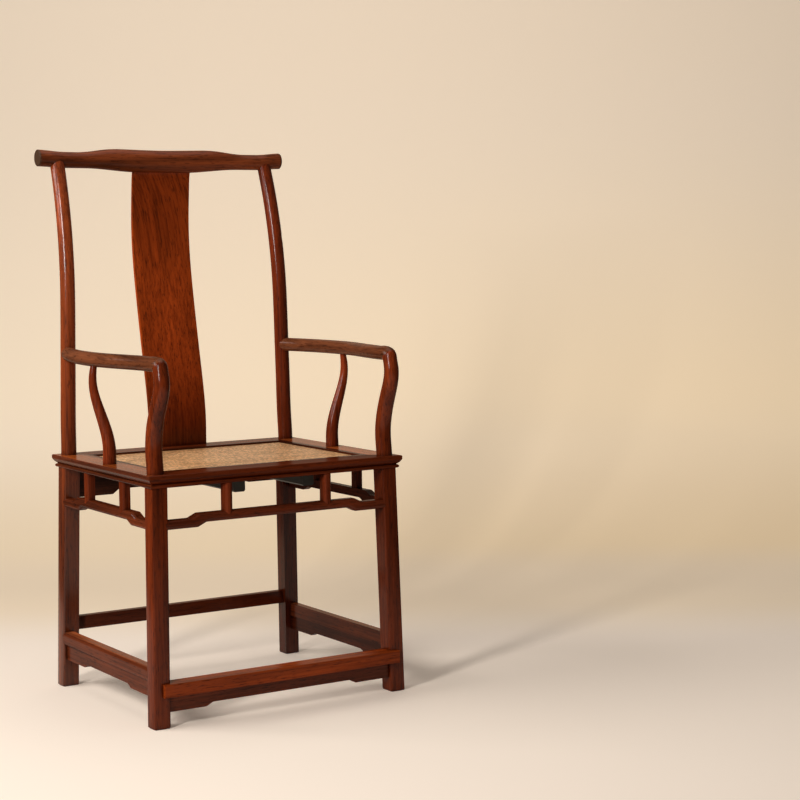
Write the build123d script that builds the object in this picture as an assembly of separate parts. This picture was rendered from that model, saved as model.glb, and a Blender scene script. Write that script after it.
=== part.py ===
from build123d import *
from math import cos, pi, sin, sqrt
import os

# Official's hat armchair: a joined hardwood chair with a woven cane seat.
# Millimetres, +Z up, drawn around the middle of the seat. The finished pieces are moved so that the
# origin is on the floor, under the middle of the chair's overall depth.
# The chair faces -Y, and "left" is the sitter's left, +X.

# ---------------------------------------------------------------- seat frame
SEAT_WIDTH = 600.0
SEAT_DEPTH = 488.0
SEAT_HEIGHT = 514.0
SEAT_THICKNESS = 27.0
RAIL_WIDTH = 66.0
EDGE_FLAT = 8.0
EDGE_EASE = 1.5
COVE_FULLNESS = 0.35
BEAD_RADIUS = 3.6
BEAD_INSET = 5.0
BEAD_GROOVE = 1.0
REBATE_WIDTH = 11.0
REBATE_DEPTH = 9.0
FIBRE_THICKNESS = 2.0
CANE_THICKNESS = 2.5
FRAME_TENON_WIDTH = 12.0
FRAME_TENON_THICKNESS = 8.0
FRAME_TENON_REACH = 22.0
FRAME_TENON_SETBACK = 5.0

# ---------------------------------------------------------------- legs and posts
LEG_INSET = 27.5
LEG_SIZE = 37.0
LEG_CROWN = 1.8
LEG_CORNER = 4.0
LEG_SPLAY_X = 10.5
LEG_SPLAY_Y = 13.0
FOOT_EASE = 1.5

# Heights named RISE are above the top of the seat.
REAR_POST_RADIUS = 16.7
REAR_POST_TOP_RADIUS = 15.8
REAR_POST_LEAN = 15.0
REAR_POST_BEND_RISE = 319.0
REAR_POST_BEND_RADIUS = 930.0
REAR_POST_STRAIGHT_STATIONS = 4
REAR_POST_BENT_STATIONS = 7
CREST_TENON_RADIUS = 8.0
CREST_TENON_LENGTH = 22.0

FRONT_POST_RADIUS = 17.2
FRONT_POST_TAPER = 3.0
FRONT_POST_WAIST_RISE = 52.0
FRONT_POST_WAIST_BACK = 6.0
FRONT_POST_BEND_RISE = 119.0
FRONT_POST_BEND_REACH = 10.0
FRONT_POST_REACH = 28.5
FRONT_POST_LEAN = 2.0
FRONT_POST_SWELL = 4.5
FRONT_POST_SWELL_DROP = 36.0
FRONT_POST_STATIONS = 14

# ---------------------------------------------------------------- arms
ARM_RISE = 220.5
ARM_RADIUS = 15.3
ARM_BOW = 29.5
ARM_STATIONS = 14
ELBOW_INNER_RADIUS = 3.0
ELBOW_SQUARENESS = 2.6
ELBOW_START = 15
ELBOW_TURN_STEP = 15
MITRE_ANGLE = 45
MITRE_DOWEL_RADIUS = 4.0
MITRE_DOWEL_REACH = 9.0
ARM_TENON_RADIUS = 6.5
ARM_TENON_LENGTH = 12.0

SIDE_POST_BASE_RADIUS = 14.3
SIDE_POST_TOP_RADIUS = 6.3
SIDE_POST_TAPER = 1.3
SIDE_POST_Y = 2.0
SIDE_POST_STRAIGHT = 34.0
SIDE_POST_SWELL = 3.0
SIDE_POST_SWELL_DROP = 62.0
SIDE_POST_HEAD_SLOPE = 0.15
SIDE_POST_STATIONS = 8
SIDE_POST_TENON_RADIUS = 5.0
SIDE_POST_TENON_LENGTH = 8.0
SIDE_POST_TOP_TENON_RADIUS = 3.0

# ---------------------------------------------------------------- back
CREST_RISE = 641.0
CREST_OVERHANG = 44.0
CREST_CENTRE_BACK = 11.0
CREST_END_BACK = 4.0
CREST_NECK_ABOVE = 18.7
CREST_NECK_HEIGHT = 35.2
CREST_DEPTH = 33.0
CREST_PILLOW_RISE = 8.4
CREST_PILLOW_DIP = 1.8
CREST_PILLOW_DROP = 8.0
CREST_PILLOW_SWELL = 4.0
CREST_BELLY_FLAT = 52.0
CREST_BELLY_FOOT = 190.0
CREST_HIP_TOP = 116.0
CREST_HIP_FOOT = 208.0
CREST_FLARE = 61.5
CREST_END_RISE = 4.2
CREST_END_LIFT = 3.0
CREST_END_SWELL = 2.0
CREST_END_EASE = 1.5
# How many sections the rail takes in each stretch, from its middle to its end.
CREST_STATIONS = (2, 2, 3, 3, 4)

SPLAT_WIDTH = 141.0
SPLAT_THICKNESS = 8.0
SPLAT_FOOT_BACK = 12.5
SPLAT_HOUSING = 12.0
SPLAT_TOP_HOUSING = 18.0
SPLAT_TOP_FORWARD = 6.0
SPLAT_TOP_SLOPE = 0.45
# The board's curve: the share of its height, and how far back it lies there from its foot.
SPLAT_CURVE = [(0.08, -0.5), (0.30, 21), (0.514, 48), (0.694, 65), (0.82, 66.5), (0.93, 61)]

# ---------------------------------------------------------------- under the seat
BAR_DEPTH = 21.0
BAR_ROUND = 7.0
BAR_FLUSH = 0.8
# The low ends of a humpback stretcher lie this far under the seat frame, and run this far from
# the leg before the upper and the lower edge step up.
HUMP_DROP = 67.0
HUMP_HEIGHT = 19.0
HUMP_RISE = 9.0
HUMP_RAMP = 19.0
HUMP_SOFTNESS = 9.0
HUMP_LOWER_END = 78.5
HUMP_FRONT_UPPER_END = 61.0
HUMP_SIDE_UPPER_END = 53.0
STRUT_SIZE = 19.5
STRUT_ROUND = 8.5
STRUT_LAP = 6.5
STRUT_PROUD = 0.3
STRUT_FRONT_INSET = 77.5
STRUT_SIDE_INSET = 60.0
STRUT_TENON = 9.0
STRUT_TENON_LENGTH = 7.0

APRON_THICKNESS = 13.0
APRON_HOUSING = 6.0
APRON_STEP_RUN = 15.0
APRON_SOFTNESS = 4.0
REAR_APRON_DROP = 68.5
REAR_APRON_RISE = 11.0
REAR_APRON_END = 92.0
REAR_APRON_INSET = 12.0

BRACE_X = 82.0
BRACE_WIDTH = 27.0
BRACE_RISE = 12.5
BRACE_DROP = 24.5
BRACE_TENON = 8.0
BRACE_LAP = 36.0
BRACE_REAR_LAP = 30.0
BRACE_EASE = 3.0

# ---------------------------------------------------------------- foot stretchers
FOOTREST_TOP = 91.5
FOOTREST_HEIGHT = 27.0
FOOTREST_PROUD = 11.0
FOOTREST_DEPTH = 40.0
FOOTREST_EASE = 2.5
FOOTREST_OVERLAP = 18.0
SIDE_STRETCHER_TOP = 122.5
REAR_STRETCHER_TOP = 152.0
STRETCHER_HEIGHT = 29.5
STRETCHER_DEPTH = 23.0
STRETCHER_ROUND = 8.0
FOOT_APRON_FRONT_DROP = 33.5
FOOT_APRON_SIDE_DROP = 32.5
FOOT_APRON_RISE = 7.5
FOOT_APRON_FRONT_END = 92.0
FOOT_APRON_SIDE_END = 101.0
FOOT_APRON_INSET = 9.0

# ---------------------------------------------------------------- joints
TENON_THICKNESS = 9.0
TENON_LENGTH = 9.0
TENON_MARGIN = 4.0
# A tenon starts this far inside the piece that it belongs to.
TENON_ROOT = 2.0
JOINT_CLEARANCE = 0.1
PEG_RADIUS = 2.5
PEG_REACH = 6.0

RING_POINTS = 12
# Places closer than this are the same place when edges are picked.
PICK = 0.1

SEAT_UNDERSIDE = SEAT_HEIGHT - SEAT_THICKNESS
LEG_X = SEAT_WIDTH / 2 - LEG_INSET
LEG_Y = SEAT_DEPTH / 2 - LEG_INSET
OPENING_X = SEAT_WIDTH / 2 - RAIL_WIDTH
OPENING_Y = SEAT_DEPTH / 2 - RAIL_WIDTH
ARM_HEIGHT = SEAT_HEIGHT + ARM_RISE
ELBOW_OFFSET = ARM_RADIUS + ELBOW_INNER_RADIUS
BEND_HEIGHT = SEAT_HEIGHT + REAR_POST_BEND_RISE
CREST_HEIGHT = SEAT_HEIGHT + CREST_RISE
CREST_NECK_TOP = CREST_HEIGHT + CREST_NECK_ABOVE
CREST_NECK_UNDER = CREST_NECK_TOP - CREST_NECK_HEIGHT
CREST_HALF_LENGTH = LEG_X - REAR_POST_LEAN + CREST_OVERHANG
CREST_FLARE_START = CREST_HALF_LENGTH - CREST_FLARE
HUMP_LOW_TOP = SEAT_UNDERSIDE - HUMP_DROP
HUMP_LOW_BOTTOM = HUMP_LOW_TOP - HUMP_HEIGHT
SIDES = (("left", 1), ("right", -1))

parts = {}


# ---------------------------------------------------------------- helpers
def mirror_x(solid):
    """The same piece for the sitter's right."""
    return mirror(solid, about=Plane.YZ)


def block(x0, x1, y0, y1, z0, z1):
    """A box between two corners, given in any order."""
    size = (abs(x1 - x0), abs(y1 - y0), abs(z1 - z0))
    centre = ((x0 + x1) / 2, (y0 + y1) / 2, (z0 + z1) / 2)
    return Pos(*centre) * Box(*size)


def grown(box, margin):
    """The box-shaped mortise that takes a box-shaped tenon with a margin all round."""
    bounds = box.bounding_box()
    low = bounds.min - Vector(margin, margin, margin)
    high = bounds.max + Vector(margin, margin, margin)
    return block(low.X, high.X, low.Y, high.Y, low.Z, high.Z)


def ring(centre, across, along, a, b):
    """A closed smooth wire: an ellipse with half sizes a and b on two directions."""
    points = []
    for step in range(RING_POINTS):
        angle = 2 * pi * step / RING_POINTS
        points.append(centre + across * (a * cos(angle)) + along * (b * sin(angle)))
    return Wire([Edge.make_spline(points, periodic=True)])


def lofted(rings):
    return Solid.make_loft(rings, ruled=False)


def between(start, end, steps):
    """Evenly spaced values from start up to, but not including, end."""
    return [start + (end - start) * step / steps for step in range(steps)]


def pin_between(start, end, radius):
    """A round tenon or dowel from one point to another."""
    plane = Plane(origin=start, z_dir=(end - start).normalized())
    return extrude(plane * Circle(radius), (end - start).length)


def grown_pin(start, end, radius):
    """The round mortise for a tenon from start to end."""
    beyond = (end - start).normalized() * JOINT_CLEARANCE
    return pin_between(start, end + beyond, radius + JOINT_CLEARANCE)


def largest(shape):
    """The main solid of a cut, without the crumb left beyond the joint."""
    return max(shape.solids(), key=lambda solid: solid.volume)


def on_front(y, shape):
    return Pos(0, y, 0) * shape


def on_rear(y, shape):
    return Pos(0, y, 0) * Rot(0, 0, 180) * shape


def on_left(x, shape):
    return Pos(x, 0, 0) * Rot(0, 0, 90) * shape


# ---------------------------------------------------------------- where the legs and posts run
def leg_axis(front, z):
    """Centre of the left leg at height z, below the top of the seat. front is -1 or 1."""
    spread = 1 - z / SEAT_HEIGHT
    x = LEG_X + LEG_SPLAY_X * spread
    y = front * (LEG_Y + LEG_SPLAY_Y * spread)
    return Vector(x, y, z)


def rear_post_axis(z):
    """Centre of the left rear post above the seat: it leans in, then bends back on one arc."""
    lean = REAR_POST_LEAN * (z - SEAT_HEIGHT) / CREST_RISE
    over = max(0.0, z - BEND_HEIGHT)
    back = REAR_POST_BEND_RADIUS - sqrt(REAR_POST_BEND_RADIUS**2 - over**2)
    return Vector(LEG_X - lean, LEG_Y + back, z)


def rear_post_radius(z):
    taper = (z - SEAT_HEIGHT) / CREST_RISE
    return REAR_POST_RADIUS + (REAR_POST_TOP_RADIUS - REAR_POST_RADIUS) * taper


def front_post_path():
    """Centre line of the left front post, from under the seat up to the start of the elbow."""
    up = Vector(0, 0, 1)
    foot = Vector(LEG_X, -LEG_Y, SEAT_UNDERSIDE)
    waist = Vector(LEG_X, -LEG_Y + FRONT_POST_WAIST_BACK, SEAT_HEIGHT + FRONT_POST_WAIST_RISE)
    bend = Vector(LEG_X, -LEG_Y - FRONT_POST_BEND_REACH, SEAT_HEIGHT + FRONT_POST_BEND_RISE)
    swell = arm_path() @ 0 - Vector(0, FRONT_POST_SWELL, FRONT_POST_SWELL_DROP)
    head, spoke, _ = elbow_spoke(ELBOW_START)
    return Edge.make_spline([foot, waist, bend, swell, head], tangents=[up, Vector(-1, 0, 0).cross(spoke)])


# ---------------------------------------------------------------- arm rail, elbow and side posts
def side_post_head():
    """Where the arm is widest and the side post meets it."""
    return Vector(LEG_X + ARM_BOW, SIDE_POST_Y, ARM_HEIGHT)


def arm_path():
    """The arm's level centre line: straight back from the elbow, then out over the side post, and
    in again on an arc to the rear post."""
    back = Vector(0, 1, 0)
    start = Vector(LEG_X - FRONT_POST_LEAN, -LEG_Y - FRONT_POST_REACH, ARM_HEIGHT)
    widest = side_post_head()
    end = rear_post_axis(ARM_HEIGHT)
    chord = (end - widest).normalized()
    return Edge.make_spline([start, widest, end], tangents=[back, back, chord * (2 * chord.Y) - back])


def arm_across(heading):
    return heading.cross(Vector(0, 0, -1)).normalized()


def elbow_spoke(angle):
    """Direction and inner and outer reach of the elbow section at an angle of its turn.

    The angle is 0 where the post ends and 90 where the arm begins. The outer corner is squarer than
    a circle, so its reach follows a superellipse."""
    turn = angle * pi / 180
    heading = arm_path() % 0
    out = Vector(0, 0, 1) * sin(turn) - heading * cos(turn)
    full = 2 * ARM_RADIUS + ELBOW_INNER_RADIUS
    square = cos(turn) ** ELBOW_SQUARENESS + sin(turn) ** ELBOW_SQUARENESS
    reach = full * square ** (-1 / ELBOW_SQUARENESS)
    centre = arm_path() @ 0 + (heading - Vector(0, 0, 1)) * ELBOW_OFFSET
    half = (reach - ELBOW_INNER_RADIUS) / 2
    return centre + out * (ELBOW_INNER_RADIUS + half), out, half


def elbow_ring(angle):
    middle, out, half = elbow_spoke(angle)
    return ring(middle, arm_across(arm_path() % 0), out, ARM_RADIUS, half)


def mitre_dowel():
    """The hidden dowel across the mitre, square to it."""
    middle = elbow_spoke(MITRE_ANGLE)[0]
    along = (arm_path() % 0 + Vector(0, 0, 1)).normalized()
    return middle - along * MITRE_DOWEL_REACH, middle + along * MITRE_DOWEL_REACH


def make_arm():
    """The arm rail from its mitre to the middle of the rear post."""
    path = arm_path()
    rings = [elbow_ring(angle) for angle in range(MITRE_ANGLE, 90, ELBOW_TURN_STEP)]
    for step in range(1, ARM_STATIONS + 1):
        station = step / ARM_STATIONS
        across = arm_across(path % station)
        rings.append(ring(path @ station, across, Vector(0, 0, 1), ARM_RADIUS, ARM_RADIUS))
    return lofted(rings)


def side_post_axis():
    """The side post stands on the side rail and curls out to the widest place of the arm."""
    foot = Vector(LEG_X, SIDE_POST_Y, SEAT_HEIGHT)
    waist = foot + Vector(0, 0, SIDE_POST_STRAIGHT)
    top = side_post_head()
    swell = top + Vector(SIDE_POST_SWELL, 0, -SIDE_POST_SWELL_DROP)
    ends = [Vector(0, 0, 1), Vector(-SIDE_POST_HEAD_SLOPE, 0, 1)]
    return Edge.make_spline([foot, waist, swell, top], tangents=ends)


def make_side_post(arm):
    """The side post, and the mortises that its two round tenons need."""
    path = side_post_axis()
    rings = []
    narrowing = SIDE_POST_TOP_RADIUS - SIDE_POST_BASE_RADIUS
    for step in range(SIDE_POST_STATIONS + 1):
        station = step / SIDE_POST_STATIONS
        radius = SIDE_POST_BASE_RADIUS + narrowing * station**SIDE_POST_TAPER
        tangent = path % station
        along = Vector(1, 0, 0).cross(tangent).normalized()
        rings.append(ring(path @ station, along.cross(tangent).normalized(), along, radius, radius))
    body = largest(lofted(rings) - arm)
    up = Vector(0, 0, 1)
    foot = path @ 0
    lower_ends = (foot + up * TENON_ROOT, foot - up * SIDE_POST_TENON_LENGTH)
    top = path @ 1
    upper_ends = (top - up * (ARM_RADIUS + TENON_ROOT), top)
    body = body + pin_between(*lower_ends, SIDE_POST_TENON_RADIUS)
    body = body + pin_between(*upper_ends, SIDE_POST_TOP_TENON_RADIUS)
    lower_mortise = grown_pin(*lower_ends, SIDE_POST_TENON_RADIUS)
    return body, lower_mortise, grown_pin(*upper_ends, SIDE_POST_TOP_TENON_RADIUS)


# ---------------------------------------------------------------- seat frame
def rail_section(length):
    """A seat rail along X before its mitres: y = 0 is the outer edge, inwards is +y."""
    half = length / 2
    bead_y = BEAD_INSET + BEAD_RADIUS
    bead_z = SEAT_UNDERSIDE + BEAD_RADIUS
    groove_y = bead_y + BEAD_GROOVE
    groove_z = bead_z + BEAD_RADIUS + BEAD_GROOVE
    cove_z = SEAT_HEIGHT - EDGE_FLAT
    cove_middle = (groove_y * COVE_FULLNESS, groove_z + (cove_z - groove_z) / 2)
    bead_top = (bead_y, bead_z + BEAD_RADIUS)
    outline = [
        Edge.make_line((EDGE_EASE, SEAT_HEIGHT), (RAIL_WIDTH, SEAT_HEIGHT)),
        Edge.make_line((RAIL_WIDTH, SEAT_HEIGHT), (RAIL_WIDTH, SEAT_UNDERSIDE)),
        Edge.make_line((RAIL_WIDTH, SEAT_UNDERSIDE), (bead_y, SEAT_UNDERSIDE)),
        Edge.make_three_point_arc((bead_y, SEAT_UNDERSIDE), (BEAD_INSET, bead_z), bead_top),
        Edge.make_line(bead_top, (groove_y, groove_z)),
        Edge.make_three_point_arc((groove_y, groove_z), cove_middle, (0, cove_z)),
        Edge.make_line((0, cove_z), (0, SEAT_HEIGHT - EDGE_EASE)),
        Edge.make_line((0, SEAT_HEIGHT - EDGE_EASE), (EDGE_EASE, SEAT_HEIGHT)),
    ]
    end = Plane(origin=(-half, 0, 0), x_dir=(0, 1, 0), z_dir=(1, 0, 0))
    bar = extrude(end * Face(Wire(outline)), length, dir=(1, 0, 0))
    rebate_low = SEAT_HEIGHT - REBATE_DEPTH
    return bar - block(-half, half, RAIL_WIDTH - REBATE_WIDTH, RAIL_WIDTH, rebate_low, SEAT_HEIGHT)


def mitred(bar, length):
    """Cuts both ends of a rail along X at 45 degrees, long at the outer edge."""
    half = length / 2
    beyond = half + RAIL_WIDTH
    for end in (-1, 1):
        inner = end * (half - RAIL_WIDTH)
        corners = [(end * half, 0), (end * beyond, 0), (end * beyond, RAIL_WIDTH), (inner, RAIL_WIDTH)]
        bar = bar - extrude(make_face(Polyline(*corners, close=True)), SEAT_HEIGHT)
    return bar


def frame_tenon(end):
    """The tongue that runs from the front or rear rail into a side rail, past the leg hole."""
    outer = RAIL_WIDTH - FRAME_TENON_SETBACK - FRAME_TENON_WIDTH
    middle = (SEAT_UNDERSIDE + SEAT_HEIGHT - REBATE_DEPTH) / 2
    half = FRAME_TENON_THICKNESS / 2
    root = OPENING_X - TENON_ROOT
    tip = OPENING_X + FRAME_TENON_REACH
    return block(end * root, end * tip, outer, outer + FRAME_TENON_WIDTH, middle - half, middle + half)


def make_seat_frame():
    """Front, rear and left rails. The long rails carry the tenons."""
    edge = -SEAT_DEPTH / 2
    front = on_front(edge, mitred(rail_section(SEAT_WIDTH), SEAT_WIDTH))
    left = on_left(SEAT_WIDTH / 2, mitred(rail_section(SEAT_DEPTH), SEAT_DEPTH))
    for end in (-1, 1):
        tenon = on_front(edge, frame_tenon(end))
        front = front + tenon
        left = left - grown(tenon, JOINT_CLEARANCE) - grown(mirror(tenon, about=Plane.XZ), JOINT_CLEARANCE)
    rear = mirror(front, about=Plane.XZ)
    return front, rear, left


# ---------------------------------------------------------------- legs and posts
def leg_section(front):
    """Left leg section: flat inside, crowned on its two outer faces."""
    half = LEG_SIZE / 2
    edge = half - LEG_CROWN
    outline = [
        Edge.make_line((-half, -edge), (-half, half)),
        Edge.make_line((-half, half), (edge, half)),
        Edge.make_three_point_arc((edge, half), (half, 0), (edge, -edge)),
        Edge.make_three_point_arc((edge, -edge), (0, -half), (-half, -edge)),
    ]
    face = Face(Wire(outline))
    outer = [vertex for vertex in face.vertices() if vertex.X > 0 or vertex.Y < 0]
    face = fillet(outer, LEG_CORNER)
    return face if front < 0 else mirror(face, about=Plane.XZ)


def make_lower_leg(front):
    """The left leg from the floor to its shoulder under the seat frame."""
    foot = leg_axis(front, 0)
    run = leg_axis(front, SEAT_UNDERSIDE) - foot
    leg = extrude(Pos(foot.X, foot.Y, 0) * leg_section(front), run.length, dir=run.normalized())
    sole = leg.faces().sort_by(Axis.Z)[0]
    return chamfer(sole.edges(), FOOT_EASE)


def make_rear_post():
    """The round part of the rear leg: straight and leaning in, then bent back on its arc."""
    heights = between(SEAT_UNDERSIDE, BEND_HEIGHT, REAR_POST_STRAIGHT_STATIONS)
    heights += between(BEND_HEIGHT, CREST_HEIGHT, REAR_POST_BENT_STATIONS)
    rings = []
    for z in heights + [CREST_HEIGHT]:
        radius = rear_post_radius(z)
        rings.append(ring(rear_post_axis(z), Vector(1, 0, 0), Vector(0, 1, 0), radius, radius))
    return lofted(rings)


def make_front_post():
    """The round part of the front leg: an S from the seat up to the mitre of the elbow.

    Its sections are level up to the elbow, so where the post leans each is an ellipse, longer
    from front to back."""
    path = front_post_path()
    heading = arm_path() % 0
    rings = []
    for step in range(FRONT_POST_STATIONS):
        station = step / FRONT_POST_STATIONS
        radius = FRONT_POST_RADIUS - (FRONT_POST_RADIUS - ARM_RADIUS) * station**FRONT_POST_TAPER
        depth = radius / (path % station).Z
        rings.append(ring(path @ station, arm_across(heading), -heading, radius, depth))
    for angle in range(ELBOW_START, MITRE_ANGLE + 1, ELBOW_TURN_STEP):
        rings.append(elbow_ring(angle))
    return lofted(rings)


# ---------------------------------------------------------------- crest rail and splat
def eased(value):
    """0 to 1 with a soft start and end, held outside that range."""
    value = min(1.0, max(0.0, value))
    return value * value * (3 - 2 * value)


def crest_back(x):
    """Where the crest rail's centre lies at x: furthest back in the middle and at its ends."""
    post = rear_post_axis(CREST_HEIGHT)
    middle = CREST_CENTRE_BACK * (1 - (x / post.X) ** 2)
    tip = CREST_END_BACK * eased((x - post.X) / (CREST_HALF_LENGTH - post.X))
    return post.Y + max(0.0, middle) + tip


def crest_ring(x):
    """The crest rail's section at x."""
    distance = abs(x)
    past_post = eased((distance - CREST_FLARE_START) / (CREST_HALF_LENGTH - CREST_FLARE_START))
    hip = eased((CREST_HIP_FOOT - distance) / (CREST_HIP_FOOT - CREST_HIP_TOP))
    belly = eased((CREST_BELLY_FOOT - distance) / (CREST_BELLY_FOOT - CREST_BELLY_FLAT))
    dip = CREST_PILLOW_DIP * eased(1 - distance / CREST_HIP_TOP)
    top = CREST_NECK_TOP + CREST_PILLOW_RISE * hip - dip + CREST_END_RISE * past_post
    bottom = CREST_NECK_TOP - CREST_NECK_HEIGHT - CREST_PILLOW_DROP * belly + CREST_END_LIFT * past_post
    depth = CREST_DEPTH + CREST_PILLOW_SWELL * belly + CREST_END_SWELL * past_post
    centre = Vector(x, crest_back(distance), (top + bottom) / 2)
    return ring(centre, Vector(0, 1, 0), Vector(0, 0, 1), depth / 2, (top - bottom) / 2)


def make_crest_rail():
    """The top rail: a pillow in the middle, necks over the posts and flared ends."""
    marks = [0.0, CREST_BELLY_FLAT, CREST_HIP_TOP, CREST_HIP_FOOT, CREST_FLARE_START, CREST_HALF_LENGTH]
    stations = []
    for start, end, steps in zip(marks, marks[1:], CREST_STATIONS):
        stations += between(start, end, steps)
    stations.append(CREST_HALF_LENGTH)
    xs = [-x for x in reversed(stations[1:])] + stations
    rail = lofted([crest_ring(x) for x in xs])
    ends = rail.faces().sort_by(Axis.X)
    return fillet(ends[0].edges() + ends[-1].edges(), CREST_END_EASE)


def make_splat():
    """One board on an S curve, housed in the rear rail below and the crest rail above."""
    foot = Vector(0, LEG_Y + SPLAT_FOOT_BACK, SEAT_HEIGHT)
    top_height = CREST_NECK_UNDER - CREST_PILLOW_DROP + SPLAT_TOP_HOUSING
    top = Vector(0, crest_back(0) - SPLAT_TOP_FORWARD, top_height)
    bends = [foot + Vector(0, back, share * (top.Z - foot.Z)) for share, back in SPLAT_CURVE]
    ends = [Vector(0, 0, 1), Vector(0, -SPLAT_TOP_SLOPE, 1)]
    path = Edge.make_spline([foot, *bends, top], tangents=ends)
    start = Plane(origin=path @ 0, x_dir=(1, 0, 0), z_dir=path % 0)
    board = sweep(start * Rectangle(SPLAT_WIDTH, SPLAT_THICKNESS), path=path)
    tongue = block(
        -SPLAT_WIDTH / 2, SPLAT_WIDTH / 2,
        foot.Y - SPLAT_THICKNESS / 2, foot.Y + SPLAT_THICKNESS / 2,
        SEAT_HEIGHT - SPLAT_HOUSING, SEAT_HEIGHT,
    )
    return board + tongue


# ---------------------------------------------------------------- rails, struts and aprons
def fillet_bends(corners, half, softness):
    """The face inside an outline, rounded at every corner that isn't at its two ends."""
    face = make_face(Polyline(*corners, close=True))
    bends = [vertex for vertex in face.vertices() if abs(vertex.X) < half - PICK]
    return fillet(bends, softness)


def stepped_edge(half, height, rise, step, ramp):
    """Points of a long edge along X that steps up to a raised middle."""
    left_side = [(-half, height), (-step - ramp / 2, height), (-step + ramp / 2, height + rise)]
    return left_side + [(-x, z) for x, z in reversed(left_side)]


def hump_face(half, low_step, high_step):
    """A humpback stretcher seen from its face: both long edges step up."""
    lower = stepped_edge(half, HUMP_LOW_BOTTOM, HUMP_RISE, low_step, HUMP_RAMP)
    upper = stepped_edge(half, HUMP_LOW_TOP, HUMP_RISE, high_step, HUMP_RAMP)
    return fillet_bends(lower + upper[::-1], half, HUMP_SOFTNESS)


def hump_bar(half, low_step, high_step):
    """A humpback stretcher along X: outer face at y = 0, rounded there."""
    return round_outer_edges(extrude(Plane.XZ * hump_face(half, low_step, high_step), -BAR_DEPTH), BAR_ROUND)


def round_outer_edges(bar, radius):
    """Rounds the long edges of the outer face, which lies at y = 0."""
    outer = bar.faces().sort_by(Axis.Y)[0]
    reach = outer.bounding_box().max.X
    long_edges = [edge for edge in outer.edges() if abs((edge @ 0.5).X) < reach - PICK]
    return fillet(long_edges, radius)


def straight_bar(half, low, high, depth, radius):
    """A plain stretcher along X: outer face at y = 0, rounded there."""
    return round_outer_edges(block(-half, half, 0, depth, low, high), radius)


def apron(shoulder, low, top, rise, low_end):
    """A thin board along X with a stepped lower edge, housed in both legs: outer face at y = 0."""
    half = shoulder + APRON_HOUSING
    lower = stepped_edge(half, low, rise, shoulder - low_end, APRON_STEP_RUN)
    face = fillet_bends(lower + [(half, top), (-half, top)], half, APRON_SOFTNESS)
    return extrude(Plane.XZ * face, -APRON_THICKNESS)


def bar_tenons(shoulder, low, high, middle):
    """The two tenons of a bar along X, on a line at y = middle."""
    tenons = []
    for end in (-1, 1):
        root = end * (shoulder - TENON_ROOT)
        tip = end * (shoulder + TENON_LENGTH)
        near = middle - TENON_THICKNESS / 2
        tenons.append(block(root, tip, near, near + TENON_THICKNESS, low + TENON_MARGIN, high - TENON_MARGIN))
    return tenons


def strut(x, y, outward, stretcher):
    """A short post up to the seat frame, its face lapped over the stretcher's rounded edge, and its
    two tenons in one."""
    low = HUMP_LOW_TOP + HUMP_RISE
    half = STRUT_SIZE / 2
    body = block(-half, half, -half, half, low - STRUT_LAP, SEAT_UNDERSIDE)
    upright = body.edges().filter_by(Axis.Z).sort_by(Axis.Y)[:2]
    body = fillet(upright, STRUT_ROUND)
    pin = STRUT_TENON / 2
    tenon = block(-pin, pin, -pin, pin, low - STRUT_TENON_LENGTH, SEAT_UNDERSIDE + STRUT_TENON_LENGTH)
    place = Pos(x, y, 0) * Rot(0, 0, outward)
    body = largest(place * body - stretcher)
    return body + place * tenon, place * tenon


def cane_strip(length):
    """A strip along X that holds the cane down in its rebate, mitred at both ends."""
    half = length / 2
    inner = half - REBATE_WIDTH
    corners = [(-half, 0), (half, 0), (inner, REBATE_WIDTH), (-inner, REBATE_WIDTH)]
    low = SEAT_HEIGHT - REBATE_DEPTH + FIBRE_THICKNESS + CANE_THICKNESS
    return extrude(Plane.XY.offset(low) * make_face(Polyline(*corners, close=True)), SEAT_HEIGHT - low)


def brace(x):
    """A transverse brace under the cane, lapped under the front and rear rails, and its tenon."""
    half = BRACE_WIDTH / 2
    low = SEAT_UNDERSIDE - BRACE_DROP
    front_end = -OPENING_Y - BRACE_LAP
    rear_end = OPENING_Y + BRACE_REAR_LAP
    lower = block(x - half, x + half, front_end, rear_end, low, SEAT_UNDERSIDE)
    upper = block(x - half, x + half, -OPENING_Y, OPENING_Y, SEAT_UNDERSIDE, SEAT_UNDERSIDE + BRACE_RISE)
    tenon_low = SEAT_UNDERSIDE + TENON_MARGIN
    tip = OPENING_Y + BRACE_TENON
    tenon = block(x - half, x + half, -tip, tip, tenon_low, tenon_low + BRACE_TENON)
    under = lower.faces().sort_by(Axis.Z)[0].edges().filter_by(Axis.Y)
    return chamfer(under, BRACE_EASE) + upper + tenon, tenon


# ---------------------------------------------------------------- assembly
def both_sides(name, left_shape):
    parts[name + "_left"] = left_shape
    parts[name + "_right"] = mirror_x(left_shape)


def cut(shape, tools):
    for tool in tools:
        shape = shape - tool
    return shape


def mortises(tenons):
    return [grown(tenon, JOINT_CLEARANCE) for tenon in tenons]


def scribed(bar, legs, tenons):
    """A bar whose ends are cut to the legs that they meet, with its tenons added."""
    bar = largest(cut(bar, legs))
    for tenon in tenons:
        bar = bar + tenon
    return bar


lower_front = make_lower_leg(-1)
lower_rear = make_lower_leg(1)
front_pair = [lower_front, mirror_x(lower_front)]
rear_pair = [lower_rear, mirror_x(lower_rear)]
left_pair = [lower_front, lower_rear]
front_post = make_front_post()
rear_post = make_rear_post()
arm = make_arm()
crest = make_crest_rail()
splat = make_splat()
half_leg = LEG_SIZE / 2

front_leg_cuts = []
rear_leg_cuts = []
front_rail_cuts = []
rear_rail_cuts = []
left_rail_cuts = []

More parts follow.
